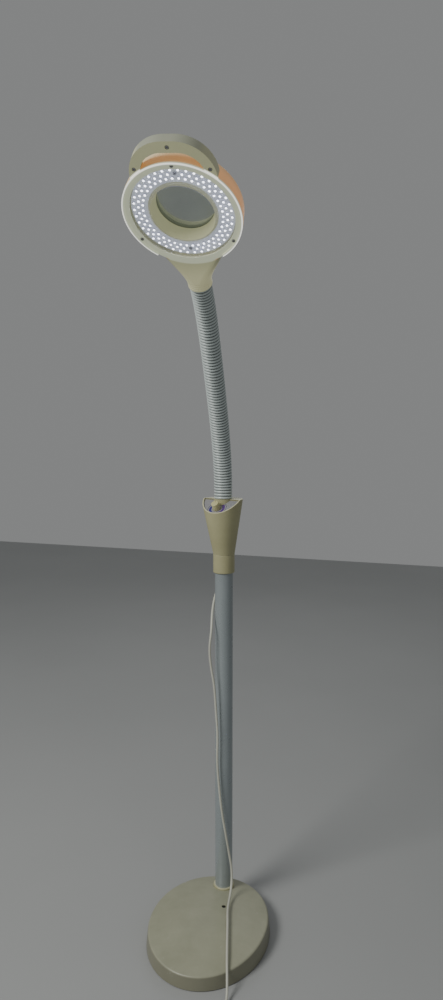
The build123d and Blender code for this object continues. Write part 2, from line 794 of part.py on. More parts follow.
ring_width = 2.2
lens_ring = turned_solid(
    head,
    [
        (lens_radius - ring_width, -lens_back), (lens_radius, -lens_back),
        (lens_radius, -lens_back - 5), (lens_radius - ring_width, -lens_back - 5),
    ],
)
finish(lens_ring, "lens_ring")

with BuildPart() as head_screws:
    for across, along in handle_screws:
        seat = placed(head, across, along, -handle_front - screw_recess)
        add(screw(seat, screw_head, 1.3, screw_shank, 13).part)
    for across, along in rim_screws:
        seat = placed(head, across, along, -lip_height)
        add(screw(seat, screw_head, 1.3, screw_shank, 5).part)
finish(head_screws, "head_screws")

with BuildPart() as board_screws:
    for across, along in board_posts:
        add(screw(placed(head, across, along, -board_front), screw_head, 1.3, screw_shank, 10).part)
finish(board_screws, "board_screws")

# ================================================================ mains cord
# From the gland round to the front of the pole and down it, over the base, off its front edge
# and along the floor to the coil.
cord_start = gland_plane.origin + gland_plane.z_dir * gland_length
cord_path = [
    cord_start, cord_start + gland_plane.z_dir * 18,
    (-18, 161, 744), (-22, 152, 716), (-27, 136, 692), (-26, 114, 672), (-22, 92, 652), (-18, 77, 625),
    (-22, 73, 587), (-19, 75, 548), (-12, 77, 508), (-9, 78, 455), (-5, 79, 398), (-7, 79, 340),
    (-3, 80, 285), (3, 80, 228), (12, 82.5, 172), (19, 86, 125), (24, 86.5, 96), (26, 81, 70),
    (28, 66, 55), (31, 44, 51.5), (36, 14, 51.5), (47, -22, 51), (58, -62, 47.5), (70, -104, 40.4),
    (79, -133, 27), (84, -150, 9), (86, -168, 2.6), (83, -186, 2.6),
]


def cord_tube(path):
    """A round cord along straight runs joined by arcs as large as the runs allow."""
    points = [Vector(*point) for point in path]
    runs = [after - before for before, after in zip(points, points[1:])]
    bends = []
    for before, after in zip(runs, runs[1:]):
        half_turn = radians(before.get_angle(after)) / 2
        bends.append(0.45 * min(before.length, after.length) / tan(half_turn))
    with BuildPart() as tube:
        with BuildLine() as line:
            FilletPolyline(*points, radius=bends)
        with BuildSketch(Plane(origin=points[0], z_dir=runs[0])):
            Circle(cord_radius)
        sweep()
    length = sum(edge.length for edge in line.edges())
    expected = length * pi * cord_radius**2
    print("cord", round(length), "radii", [round(bend) for bend in bends])
    print("volume over section times length", round(tube.part.volume / expected, 3))
    return tube


with BuildPart() as cord_coil:
    with BuildSketch():
        with Locations(coil_centre):
            Circle(coil_radius + coil_half_width)
            Circle(coil_radius - coil_half_width, mode=Mode.SUBTRACT)
    extrude(amount=coil_height)
    fillet(cord_coil.edges(), cord_radius - 0.2)
finish(cord_coil, "cord_coil")

# the plug lies on the floor beside the coil, its lead coming off the coil's outer turn
plug_length = 34.0
plug_width = 22.0
plug_thickness = 14.0
plug_middle = (coil_centre[0] + coil_radius + cord_tail + plug_length / 2, coil_centre[1] - coil_radius)
lead_height = plug_thickness / 2
with BuildPart() as plug:
    with Locations((*plug_middle, 0)):
        Box(plug_length, plug_width, plug_thickness, align=(Align.CENTER, Align.CENTER, Align.MIN))
    fillet(plug.edges(), 4)
finish(plug, "plug")

pin_radius = 2.0
pin_length = 19.0
pin_pitch = 13.0
with BuildPart() as plug_pins:
    with BuildSketch(Plane.YZ.offset(plug_middle[0] + plug_length / 2)):
        with Locations(*[(plug_middle[1] + side * pin_pitch / 2, lead_height) for side in (-1, 1)]):
            Circle(pin_radius)
    extrude(amount=pin_length)
    chamfer(plug_pins.faces().sort_by(Axis.X)[-2:].edges(), 0.8)
finish(plug_pins, "plug_pins")

plug_back = plug_middle[0] - plug_length / 2
plug_lead = [
    (plug_back - 50, plug_middle[1], cord_radius + 0.1),
    (plug_back - 37, plug_middle[1] - 1, cord_radius + 0.1),
    (plug_back - 23, plug_middle[1] - 0.5, 4.8), (plug_back - 10, plug_middle[1], lead_height),
    (plug_back, plug_middle[1], lead_height),
]
with BuildPart() as power_cord:
    add(cord_tube(cord_path).part)
    add(cord_tube(plug_lead).part)
finish(power_cord, "power_cord")
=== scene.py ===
import bpy
import json
import math
import numpy as np
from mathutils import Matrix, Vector


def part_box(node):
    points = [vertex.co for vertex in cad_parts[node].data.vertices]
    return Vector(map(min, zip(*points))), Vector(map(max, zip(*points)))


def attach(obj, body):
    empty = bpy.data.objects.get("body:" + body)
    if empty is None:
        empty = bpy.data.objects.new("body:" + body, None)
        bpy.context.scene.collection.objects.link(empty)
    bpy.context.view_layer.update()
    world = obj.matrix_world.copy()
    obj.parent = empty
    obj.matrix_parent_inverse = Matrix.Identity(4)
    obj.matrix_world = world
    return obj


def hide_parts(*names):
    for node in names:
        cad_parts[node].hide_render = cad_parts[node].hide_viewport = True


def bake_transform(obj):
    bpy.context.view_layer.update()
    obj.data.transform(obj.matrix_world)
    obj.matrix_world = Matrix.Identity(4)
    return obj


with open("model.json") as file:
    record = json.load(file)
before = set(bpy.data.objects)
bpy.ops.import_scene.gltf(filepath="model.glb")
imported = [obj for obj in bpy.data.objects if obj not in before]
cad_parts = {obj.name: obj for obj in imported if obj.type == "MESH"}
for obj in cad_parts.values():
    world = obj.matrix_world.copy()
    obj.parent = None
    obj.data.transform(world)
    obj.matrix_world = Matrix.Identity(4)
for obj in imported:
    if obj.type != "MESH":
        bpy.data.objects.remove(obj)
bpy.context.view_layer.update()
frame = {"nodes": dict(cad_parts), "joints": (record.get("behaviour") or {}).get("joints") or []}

# A floor-standing examination lamp: oval base, steel pole, control box, ribbed gooseneck and a
# round lighted head. Everything is in metres in the CAD frame.

NODES = frame["nodes"]
JOINTS = frame["joints"]
UP = Vector((0, 0, 1))


# ---------------------------------------------------------------- camera
CAMERA_PLACE = Vector((0.419, -1.2811, 1.064))
CAMERA_AZIMUTH = math.radians(17.0)
CAMERA_PITCH = math.radians(-6.5)
CAMERA_LENS = 25.2          # in mm, as the sensor's height is
SENSOR_HEIGHT = 36.0


def make_camera():
    data = bpy.data.cameras.new("camera")
    data.sensor_fit = "VERTICAL"
    data.sensor_height = SENSOR_HEIGHT
    data.lens = CAMERA_LENS
    data.clip_start = 0.05
    camera = bpy.data.objects.new("camera", data)
    bpy.context.scene.collection.objects.link(camera)
    camera.location = CAMERA_PLACE
    camera.rotation_euler = (math.radians(90) + CAMERA_PITCH, 0, CAMERA_AZIMUTH)
    bpy.context.scene.camera = camera


make_camera()


# ---------------------------------------------------------------- helpers
def link(name, data):
    made = bpy.data.objects.new(name, data)
    bpy.context.scene.collection.objects.link(made)
    return made


def mesh_piece(name, points, faces, smooth=True):
    mesh = bpy.data.meshes.new(name)
    mesh.from_pydata([tuple(point) for point in points], [], faces)
    mesh.update()
    if smooth:
        mesh.polygons.foreach_set("use_smooth", [True] * len(mesh.polygons))
    return link(name, mesh)


def ring_faces(rings, around):
    """Quads between rows of points, each row running once round."""
    faces = []
    for row in range(rings - 1):
        for step in range(around):
            after = (step + 1) % around
            faces.append((
                row * around + step, row * around + after,
                (row + 1) * around + after, (row + 1) * around + step,
            ))
    return faces


# ---------------------------------------------------------------- mains cord
CORD_DIAMETER = 0.005
SPAN_STEPS = 8              # straight steps in each span of the cord's curve
CORD_ROUTE = [              # the cord's middle, from the gland to the floor in front of the base
    (-0.0130, 0.1482, 0.7846), (-0.0165, 0.1592, 0.7708), (-0.018, 0.161, 0.744),
    (-0.022, 0.152, 0.716), (-0.027, 0.136, 0.692), (-0.026, 0.114, 0.672),
    (-0.022, 0.092, 0.652), (-0.018, 0.077, 0.625), (-0.022, 0.073, 0.587),
    (-0.019, 0.075, 0.548), (-0.012, 0.077, 0.508), (-0.009, 0.078, 0.455),
    (-0.005, 0.079, 0.398), (-0.007, 0.079, 0.340), (-0.003, 0.080, 0.285),
    (0.003, 0.080, 0.228), (0.012, 0.0825, 0.172), (0.019, 0.086, 0.125),
    (0.024, 0.0865, 0.096), (0.026, 0.081, 0.070), (0.028, 0.066, 0.055),
    (0.031, 0.044, 0.0515), (0.036, 0.014, 0.0515), (0.047, -0.022, 0.051),
    (0.058, -0.062, 0.0475), (0.070, -0.104, 0.0404), (0.079, -0.133, 0.027),
    (0.084, -0.150, 0.009), (0.086, -0.168, 0.0026),
]
COIL_POINTS = 16            # route points in each turn
COIL_LAYOUT = [             # radius and height of the cord's middle at the start of each turn
    (0.0332, 0.0026), (0.0280, 0.0026), (0.0228, 0.0026),
    (0.0254, 0.0072), (0.0305, 0.0074), (0.0310, 0.0078),
]
COIL_TURNS = 5.25
PLUG_LEAD = [               # from the plug's back: along, across, height above the plug's middle
    (-0.052, -0.0005, -0.0003), (-0.037, -0.0010, -0.0012), (-0.023, -0.0005, -0.0010),
    (-0.010, 0, 0), (0.002, 0, 0),
]


def coil_route():
    """The stored turns, counter-clockwise from the coil's left side, then the lead to the plug."""
    low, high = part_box("cord_coil")
    middle = Vector(((low[0] + high[0]) / 2, (low[1] + high[1]) / 2, 0))
    plug_low, plug_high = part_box("plug")
    route = []
    for step in range(round(COIL_TURNS * COIL_POINTS) + 1):
        index, share = divmod(step / COIL_POINTS, 1)
        radius, height = COIL_LAYOUT[int(index)]
        next_radius, next_height = COIL_LAYOUT[min(int(index) + 1, len(COIL_LAYOUT) - 1)]
        share = share * share * (3 - 2 * share)
        radius += (next_radius - radius) * share
        height += (next_height - height) * share
        angle = math.pi + 2 * math.pi * step / COIL_POINTS
        route.append((
            middle.x + radius * math.cos(angle), middle.y + radius * math.sin(angle), height,
        ))
    across = (plug_low[1] + plug_high[1]) / 2
    height = (plug_low[2] + plug_high[2]) / 2
    for along, side, above in PLUG_LEAD:
        route.append((plug_low[0] + along, across + side, height + above))
    return route


def make_cord():
    route = CORD_ROUTE + coil_route()
    data = bpy.data.curves.new("mains_cord", "CURVE")
    data.dimensions = "3D"
    data.bevel_depth = 1.0      # each point's radius carries the cord's real radius
    data.bevel_resolution = 4
    data.resolution_u = SPAN_STEPS
    data.use_fill_caps = True
    spline = data.splines.new("NURBS")
    spline.points.add(len(route) - 1)
    for point, place in zip(spline.points, route):
        point.co = (*place, 1.0)
        point.radius = CORD_DIAMETER / 2
    spline.order_u = 3
    spline.use_endpoint_u = True
    cord = link("mains_cord", data)
    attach(cord, "stand")
    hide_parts("power_cord", "cord_coil")
    return cord


cord = make_cord()


# ---------------------------------------------------------------- materials
class Shader:
    """A small builder of node materials round one Principled shader."""

    def __init__(self, name):
        self.material = bpy.data.materials.new(name)
        self.material.use_nodes = True
        self.tree = self.material.node_tree
        self.tree.nodes.clear()
        self.output = self.tree.nodes.new("ShaderNodeOutputMaterial")
        self.shader = self.tree.nodes.new("ShaderNodeBsdfPrincipled")
        self.join(self.shader, "BSDF", self.output, "Surface")
        self.place = self.tree.nodes.new("ShaderNodeTexCoord")

    def join(self, a, a_socket, b, b_socket):
        self.tree.links.new(a.outputs[a_socket], b.inputs[b_socket])

    def set(self, **values):
        for key, value in values.items():
            self.shader.inputs[key.replace("_", " ")].default_value = value

    def noise(self, scale, detail=3.0, rough=0.5):
        node = self.tree.nodes.new("ShaderNodeTexNoise")
        node.inputs["Scale"].default_value = scale
        node.inputs["Detail"].default_value = detail
        node.inputs["Roughness"].default_value = rough
        self.join(self.place, "Object", node, "Vector")
        return node

    def ramp(self, source, socket, stops):
        node = self.tree.nodes.new("ShaderNodeValToRGB")
        self.join(source, socket, node, "Fac")
        elements = node.color_ramp.elements
        elements[0].position, elements[0].color = stops[0][0], (*stops[0][1], 1)
        elements[1].position, elements[1].color = stops[-1][0], (*stops[-1][1], 1)
        for position, colour in stops[1:-1]:
            elements.new(position).color = (*colour, 1)
        return node

    def mix(self, factor, a, b):
        """Mixes two colours, each a node or a constant, by a node or a constant."""
        node = self.tree.nodes.new("ShaderNodeMix")
        node.data_type = "RGBA"
        for index, value in ((0, factor), (6, a), (7, b)):
            socket = node.inputs[index]
            if isinstance(value, tuple) and not isinstance(value[0], (int, float)):
                self.tree.links.new(value[0].outputs[value[1]], socket)
            elif isinstance(value, tuple):
                socket.default_value = (*value, 1)
            else:
                socket.default_value = value
        return node, 2

    def maths(self, operation, a, b=None):
        node = self.tree.nodes.new("ShaderNodeMath")
        node.operation = operation
        for index, value in ((0, a), (1, b)):
            if value is None:
                continue
            if isinstance(value, tuple):
                self.tree.links.new(value[0].outputs[value[1]], node.inputs[index])
            else:
                node.inputs[index].default_value = value
        return node, 0

    def times(self, *values):
        product = values[0]
        for value in values[1:]:
            product = self.maths("MULTIPLY", product, value)
        return product

    def colour(self, source):
        self.tree.links.new(source[0].outputs[source[1]], self.shader.inputs["Base Color"])

    def glow(self, source, strength):
        self.tree.links.new(source[0].outputs[source[1]], self.shader.inputs["Emission Color"])
        self.set(Emission_Strength=strength)

    def rough(self, source, low, high):
        node = self.tree.nodes.new("ShaderNodeMapRange")
        node.inputs["To Min"].default_value = low
        node.inputs["To Max"].default_value = high
        self.tree.links.new(source[0].outputs[source[1]], node.inputs["Value"])
        self.join(node, "Result", self.shader, "Roughness")

    def bump(self, source, strength, distance):
        node = self.tree.nodes.new("ShaderNodeBump")
        node.inputs["Strength"].default_value = strength
        node.inputs["Distance"].default_value = distance
        self.tree.links.new(source[0].outputs[source[1]], node.inputs["Height"])
        self.join(node, "Normal", self.shader, "Normal")

    def local(self, origin, axis):
        """Distance of the shaded point from an origin along an axis, in metres."""
        moved = self.tree.nodes.new("ShaderNodeVectorMath")
        moved.operation = "SUBTRACT"
        self.join(self.place, "Object", moved, 0)
        moved.inputs[1].default_value = origin
        dot = self.tree.nodes.new("ShaderNodeVectorMath")
        dot.operation = "DOT_PRODUCT"
        self.join(moved, 0, dot, 0)
        dot.inputs[1].default_value = axis
        return dot, "Value"

    def facing(self, direction):
        """The part of the surface's own normal along a direction."""
        dot = self.tree.nodes.new("ShaderNodeVectorMath")
        dot.operation = "DOT_PRODUCT"
        self.join(self.place, "Normal", dot, 0)
        dot.inputs[1].default_value = direction
        return dot, "Value"

    def outward(self, origin):
        """How far the surface lies, and faces, away from an origin: negative on inner faces."""
        moved = self.tree.nodes.new("ShaderNodeVectorMath")
        moved.operation = "SUBTRACT"
        self.join(self.place, "Object", moved, 0)
        moved.inputs[1].default_value = origin
        dot = self.tree.nodes.new("ShaderNodeVectorMath")
        dot.operation = "DOT_PRODUCT"
        self.join(moved, 0, dot, 0)
        self.join(self.place, "Normal", dot, 1)
        return dot, "Value"

    def between(self, value, low, high):
        """0 below low, 1 above high, smooth between."""
        node = self.tree.nodes.new("ShaderNodeMapRange")
        node.interpolation_type = "SMOOTHSTEP"
        node.inputs["From Min"].default_value = low
        node.inputs["From Max"].default_value = high
        self.tree.links.new(value[0].outputs[value[1]], node.inputs["Value"])
        return node, 0

    def below(self, value, low, high):
        """1 below low, 0 above high, smooth between."""
        return self.maths("SUBTRACT", 1.0, self.between(value, low, high))

    def from_axis(self, across, along):
        """Distance from the axis that two lengths are measured from."""
        square = self.maths("ADD", self.times(across, across), self.times(along, along))
        return self.maths("SQRT", square)


def moulded(name, base, shade, rough=(0.36, 0.5)):
    """Moulded plastic with faint mottling."""
    made = Shader(name)
    tint = made.ramp(made.noise(9.0, 4.0, 0.6), "Fac", [(0.3, shade), (0.7, base)])
    made.colour((tint, "Color"))
    mould_texture(made, rough)
    return made.material


def mould_texture(made, rough):
    """The uneven gloss and fine grain of a moulding."""
    made.rough((made.noise(35.0, 4.0, 0.6), "Fac"), *rough)
    made.bump((made.noise(900.0, 2.0), "Fac"), 0.25, 0.00012)


# The head's own frame, from the CAD: z out of the light side, y along the neck to the handle
COVER_DEPTH = 0.0065        # middle of the LED cover behind the head's front rim
NECK_HINGES = [hinge for hinge in JOINTS if hinge["name"].startswith(("bend", "sway"))]
JOINTS_AT = [Vector(hinge["pos_m"]) for hinge in NECK_HINGES]
NECK_ACROSS = Vector(NECK_HINGES[0]["axis"]).normalized()
NECK_BACK = UP.cross(NECK_ACROSS).normalized()


def head_frame():
    """Middle of the front rim, and the three axes, from the flat ring of the LED cover."""
    places = np.array([tuple(vertex.co) for vertex in NODES["led_cover"].data.vertices])
    middle = Vector((places.min(axis=0) + places.max(axis=0)) / 2)
    normal = Vector(np.linalg.svd(places - places.mean(axis=0), full_matrices=False)[2][2])
    if normal.z > 0:
        normal = -normal
    along = middle - JOINTS_AT[-1]
    along = (along - normal * along.dot(normal)).normalized()
    return middle + normal * COVER_DEPTH, along.cross(normal).normalized(), along, normal


HEAD, HEAD_X, HEAD_Y, HEAD_OUT = head_frame()


# ---------------------------------------------------------------- surface materials
CREAM = (0.44, 0.425, 0.25)
CREAM_SHADE = (0.355, 0.34, 0.19)
CREAM_TOP_HIGHLIGHT = (0.66, 0.65, 0.47)
HANDLE_PAINTED_SHADE = (0.22, 0.24, 0.215)
RING_RADIUS = 0.090         # outside of the head's ring
FLANGE_INNER = 0.079        # inside of its front flange
TUBE_RADIUS = 0.0512        # outside of the tube round the lens
NECK_GROOVE_PITCH = 0.0042
NECK_GROOVES_FROM = -0.135  # along the head, counted from the ring's middle


def housing_material():
    """Cream plastic, with a painted highlight on the surfaces that face up."""
    made = Shader("cream_housing")
    tint = made.ramp(made.noise(9.0, 4.0, 0.6), "Fac", [(0.3, CREAM_SHADE), (0.7, CREAM)])
    # painted highlight: surfaces that face up are mixed towards a paler cream
    painted_highlight = made.between(made.facing(tuple(UP)), 0.5, 0.9)
    made.colour(made.mix(made.times(painted_highlight, 0.7), (tint, "Color"), CREAM_TOP_HIGHLIGHT))
    mould_texture(made, (0.38, 0.52))
    return made.material


def base_material():
    """The base's cream moulding, darker low down in clouds, with painted shade on its sides and faint
    scuffs on its top.
    """
    made = Shader("base_housing")
    cloud = made.noise(14.0, 5.0, 0.65)
    height = made.local((0, 0, 0), tuple(UP))
    # darker towards the bottom, in clouds
    low_darkening = made.times(made.below(height, 0.004, 0.028), (cloud, "Fac"), 0.75)
    # painted shade: surfaces that face sideways are darkened
    side_painted_shade = made.times(made.below(made.facing(tuple(UP)), 0.25, 0.75), 0.55)
    darkening_and_painted_shade = made.maths("MAXIMUM", low_darkening, side_painted_shade)
    tint = made.ramp(cloud, "Fac", [(0.3, (0.32, 0.325, 0.235)), (0.7, (0.39, 0.395, 0.29))])
    darkened = made.mix(darkening_and_painted_shade, (tint, "Color"), (0.16, 0.15, 0.11))
    streak = made.noise(60.0, 3.0, 0.7)
    scuff = made.ramp(streak, "Fac", [(0.66, (0, 0, 0)), (0.74, (1, 1, 1))])
    made.colour(made.mix(made.times((scuff, "Color"), 0.16), darkened, (0.62, 0.62, 0.55)))
    mould_texture(made, (0.28, 0.44))
    return made.material


def head_material():
    """The head's cream plastic, with painted glow for the LEDs' light: orange through its side, pale on
    the flange, a painted highlight on the rim, and painted shade on the handle's outer wall.
    """
    made = Shader("head_housing")
    depth = made.local(tuple(HEAD), tuple(HEAD_OUT))
    across = made.local(tuple(HEAD), tuple(HEAD_X))
    along = made.local(tuple(HEAD), tuple(HEAD_Y))
    radius = made.from_axis(across, along)
    in_ring = made.below(radius, RING_RADIUS + 0.0005, RING_RADIUS + 0.003)
    # the handle's outer wall, greyer than the rest: painted shade
    cloud = made.noise(9.0, 4.0, 0.6)
    tint = made.ramp(cloud, "Fac", [(0.3, (0.47, 0.465, 0.31)), (0.7, (0.55, 0.545, 0.37))])
    upward = made.between(made.facing(tuple(HEAD_Y)), 0.15, 0.75)
    handle_shade = made.times(upward, made.between(along, 0.100, 0.112))
    made.colour(made.mix(made.times(handle_shade, 0.75), (tint, "Color"), HANDLE_PAINTED_SHADE))
    made.rough((made.noise(35.0, 4.0, 0.6), "Fac"), 0.34, 0.48)
    # painted glow standing for the LEDs' light through the plastic: the side wall and dome, in patches
    outside = made.between(made.outward(tuple(HEAD)), 0.005, 0.03)
    wall = made.between(radius, 0.076, 0.088)
    fading = made.between(depth, -0.046, -0.016)
    patches = made.maths("ADD", made.times((made.noise(16.0, 3.0), "Fac"), 0.6), 0.6)
    side = made.times(outside, in_ring, wall, fading, patches)
    # and painted glow on the flange, the inner tube, the neck and all that faces forward, with a painted
    # highlight on the lip's edge
    flange = made.between(radius, FLANGE_INNER - 0.0055, FLANGE_INNER - 0.0025)
    flange_glow = made.times(made.between(depth, -0.0045, -0.0025), flange, in_ring)
    rim = made.between(radius, RING_RADIUS - 0.0020, RING_RADIUS - 0.0016)
    painted_highlight = made.times(made.between(depth, -0.0016, -0.0010), rim, in_ring)
    tube_glow = made.below(radius, TUBE_RADIUS - 0.0007, TUBE_RADIUS + 0.0008)
    neck_glow = made.times(made.below(along, -0.13, -0.08), 0.8)
    front_facing_glow = made.between(made.facing(tuple(HEAD_OUT)), 0.8, 0.98)
    painted_glow = made.mix(front_facing_glow, (0.030, 0.030, 0.018), (0.130, 0.134, 0.072))
    painted_glow = made.mix(side, painted_glow, (0.37, 0.135, 0.034))
    painted_glow = made.mix(neck_glow, painted_glow, (0.235, 0.225, 0.125))
    painted_glow = made.mix(tube_glow, painted_glow, (0.165, 0.170, 0.100))
    painted_glow = made.mix(flange_glow, painted_glow, (0.290, 0.320, 0.255))
    painted_glow = made.mix(painted_highlight, painted_glow, (1.0, 1.0, 0.95))
    # all of it painted light: emission on plastic that is no lamp
    made.glow(painted_glow, 1.0)
    # fine grain, and the grooves moulded across the neck's narrow end
    wave = made.maths("SINE", made.times(along, 2 * math.pi / NECK_GROOVE_PITCH))
    ripple = made.maths("MAXIMUM", wave, 0.0)
    past_end = made.between(along, NECK_GROOVES_FROM - 0.0005, NECK_GROOVES_FROM + 0.0005)
    grooves = made.maths("SUBTRACT", ripple, made.times(ripple, past_end))
    grain = made.times((made.noise(900.0, 2.0), "Fac"), 0.08)
    made.bump(made.maths("SUBTRACT", grain, grooves), 0.6, 0.0012)
    return made.material


def pole_material():
    made = Shader("pole_enamel")
    cloud = made.noise(7.0, 4.0, 0.6)
    tint = made.ramp(cloud, "Fac", [(0.3, (0.33, 0.37, 0.385)), (0.7, (0.38, 0.425, 0.44))])
    made.colour((tint, "Color"))
    made.rough((made.noise(50.0, 4.0), "Fac"), 0.22, 0.36)
    made.bump((made.noise(300.0, 2.0), "Fac"), 0.12, 0.0001)
    made.set(Metallic=0.35, Coat_Weight=0.3, Coat_Roughness=0.15)
    return made.material


def metal_material(name, colour, shade, rough):
    made = Shader(name)
    tint = made.ramp(made.noise(180.0, 4.0, 0.6), "Fac", [(0.3, shade), (0.7, colour)])
    made.colour((tint, "Color"))
    made.rough((made.noise(360.0, 3.0), "Fac"), rough, rough + 0.14)
    made.bump((made.noise(720.0, 2.0), "Fac"), 0.15, 0.00006)
    made.set(Metallic=1.0)
    return made.material


def cast_material():
    made = Shader("cast_weight")
    rust = made.noise(60.0, 6.0, 0.7)
    tint = made.ramp(rust, "Fac", [(0.3, (0.045, 0.043, 0.04)), (0.75, (0.10, 0.095, 0.09))])
    made.colour((tint, "Color"))
    made.bump((made.noise(220.0, 6.0, 0.7), "Fac"), 0.6, 0.0008)
    made.set(Roughness=0.75, Metallic=0.6)
    return made.material


def rubber_material(name, colour, shade):
    made = Shader(name)
    tint = made.ramp(made.noise(40.0, 4.0, 0.6), "Fac", [(0.3, shade), (0.7, colour)])
    made.colour((tint, "Color"))
    made.bump((made.noise(500.0, 2.0), "Fac"), 0.3, 0.0002)
    made.rough((made.noise(60.0, 3.0), "Fac"), 0.5, 0.7)
    return made.material


def board_material():
    made = Shader("circuit_board")
    tracks = made.noise(140.0, 1.0)
    tint = made.ramp(tracks, "Fac", [(0.45, (0.02, 0.10, 0.045)), (0.55, (0.03, 0.14, 0.06))])
    made.colour((tint, "Color"))
    made.rough((made.noise(90.0, 2.0), "Fac"), 0.3, 0.45)
    return made.material


def lit_board_material():
    """The white LED board, with a painted violet glow standing for the light of the LEDs on it."""
    made = Shader("lit_board")
    cloud = made.noise(45.0, 3.0)
    tint = made.ramp(cloud, "Fac", [(0.3, (0.36, 0.36, 0.43)), (0.7, (0.45, 0.45, 0.51))])
    made.colour((tint, "Color"))
    haze = made.noise(30.0, 3.0)
    painted_violet_glow = made.ramp(haze, "Fac", [(0.3, (0.36, 0.40, 0.43)), (0.7, (0.46, 0.51, 0.52))])
    # painted light: the board glows as if lit by its LEDs
    made.glow((painted_violet_glow, "Color"), 0.95)
    made.set(Roughness=0.5)
    return made.material


def led_material():
    """Clear LED domes, bright where the chip shows through the top of each dome."""
    made = Shader("led_lit")
    hot = made.between(made.facing(tuple(HEAD_OUT)), 0.70, 0.97)
    cloud = made.noise(300.0, 2.0)
    tint = made.ramp(cloud, "Fac", [(0.3, (0.84, 0.88, 1.0)), (0.7, (0.96, 0.98, 1.0))])
    made.colour(made.mix(hot, (0.34, 0.35, 0.42), (tint, "Color")))
    made.glow(made.mix(hot, (0.040, 0.043, 0.058), (tint, "Color")), 6.0)
    made.set(Roughness=0.25)
    return made.material


def clear_material(name, tint, shade, roughness, alpha, ior=1.45):
    """Clear plastic or glass, thinly tinted, with fine scratches."""
    made = Shader(name)
    mottle = made.ramp(made.noise(30.0, 3.0), "Fac", [(0.3, shade), (0.7, tint)])
    made.colour((mottle, "Color"))
    made.bump((made.noise(260.0, 4.0, 0.7), "Fac"), 0.08, 0.0001)
    made.set(Roughness=roughness, Alpha=alpha, IOR=ior)
    made.shader.inputs["Specular IOR Level"].default_value = 0.6
    return made.material


def panel_material():
    """Silver dial plate: brushed, with printed blue and violet arcs round the knob."""
    made = Shader("dial_panel")
    hinge = next(j for j in JOINTS if j["child"] == "dial")
    normal = -Vector(hinge["axis"]).normalized()
    x_dir = NECK_ACROSS - normal * NECK_ACROSS.dot(normal)
    x_dir.normalize()
    y_dir = normal.cross(x_dir)
    centre = Vector(hinge["pos_m"])
    across = made.local(tuple(centre), tuple(x_dir))
    along = made.local(tuple(centre), tuple(y_dir))
    radius = made.from_axis(across, along)
    wide = made.times(made.between(radius, 0.0118, 0.0122), made.below(radius, 0.0172, 0.0176))
    thin = made.times(made.between(radius, 0.0195, 0.0198), made.below(radius, 0.0206, 0.0209))
    turned = made.maths("ABSOLUTE", made.maths("ARCTAN2", across, along))
    shown = made.between(turned, 0.55, 0.6)
    brush = made.noise(400.0, 2.0)
    brushed = made.ramp(brush, "Fac", [(0.3, (0.37, 0.37, 0.39)), (0.7, (0.41, 0.41, 0.43))])
    ink = made.mix(made.between(across, -0.012, 0.012), (0.07, 0.06, 0.30), (0.15, 0.07, 0.32))
    printed = made.mix(made.times(wide, shown), (brushed, "Color"), ink)
    printed = made.mix(made.times(thin, shown), printed, (0.10, 0.11, 0.20))
    made.colour(printed)
    made.rough((made.noise(120.0, 3.0), "Fac"), 0.32, 0.45)
    made.set(Metallic=0.45)
    return made.material


def sleeve_material():
    """Ribbed sleeve: painted highlight on its crests and painted shade in its grooves, from the mesh's
    crest value, with faint grime.
    """
    made = Shader("ribbed_sleeve")
    crest = made.tree.nodes.new("ShaderNodeAttribute")
    crest.attribute_name = "crest"
    # painted shade and highlight: near black in the grooves, pale on the crests
    tint = made.ramp(crest, "Fac", [
        (0.0, (0.075, 0.090, 0.092)), (0.30, (0.16, 0.185, 0.185)),
        (0.70, (0.46, 0.52, 0.515)), (1.0, (0.64, 0.71, 0.70)),
    ])
    cloud = made.noise(40.0, 4.0)
    grime = made.times((cloud, "Fac"), 0.25)
    made.colour(made.mix(grime, (tint, "Color"), (0.30, 0.32, 0.30)))
    made.rough((made.noise(120.0, 3.0), "Fac"), 0.34, 0.48)
    made.set(Metallic=0.1, Coat_Weight=0.12, Coat_Roughness=0.25)
    return made.material


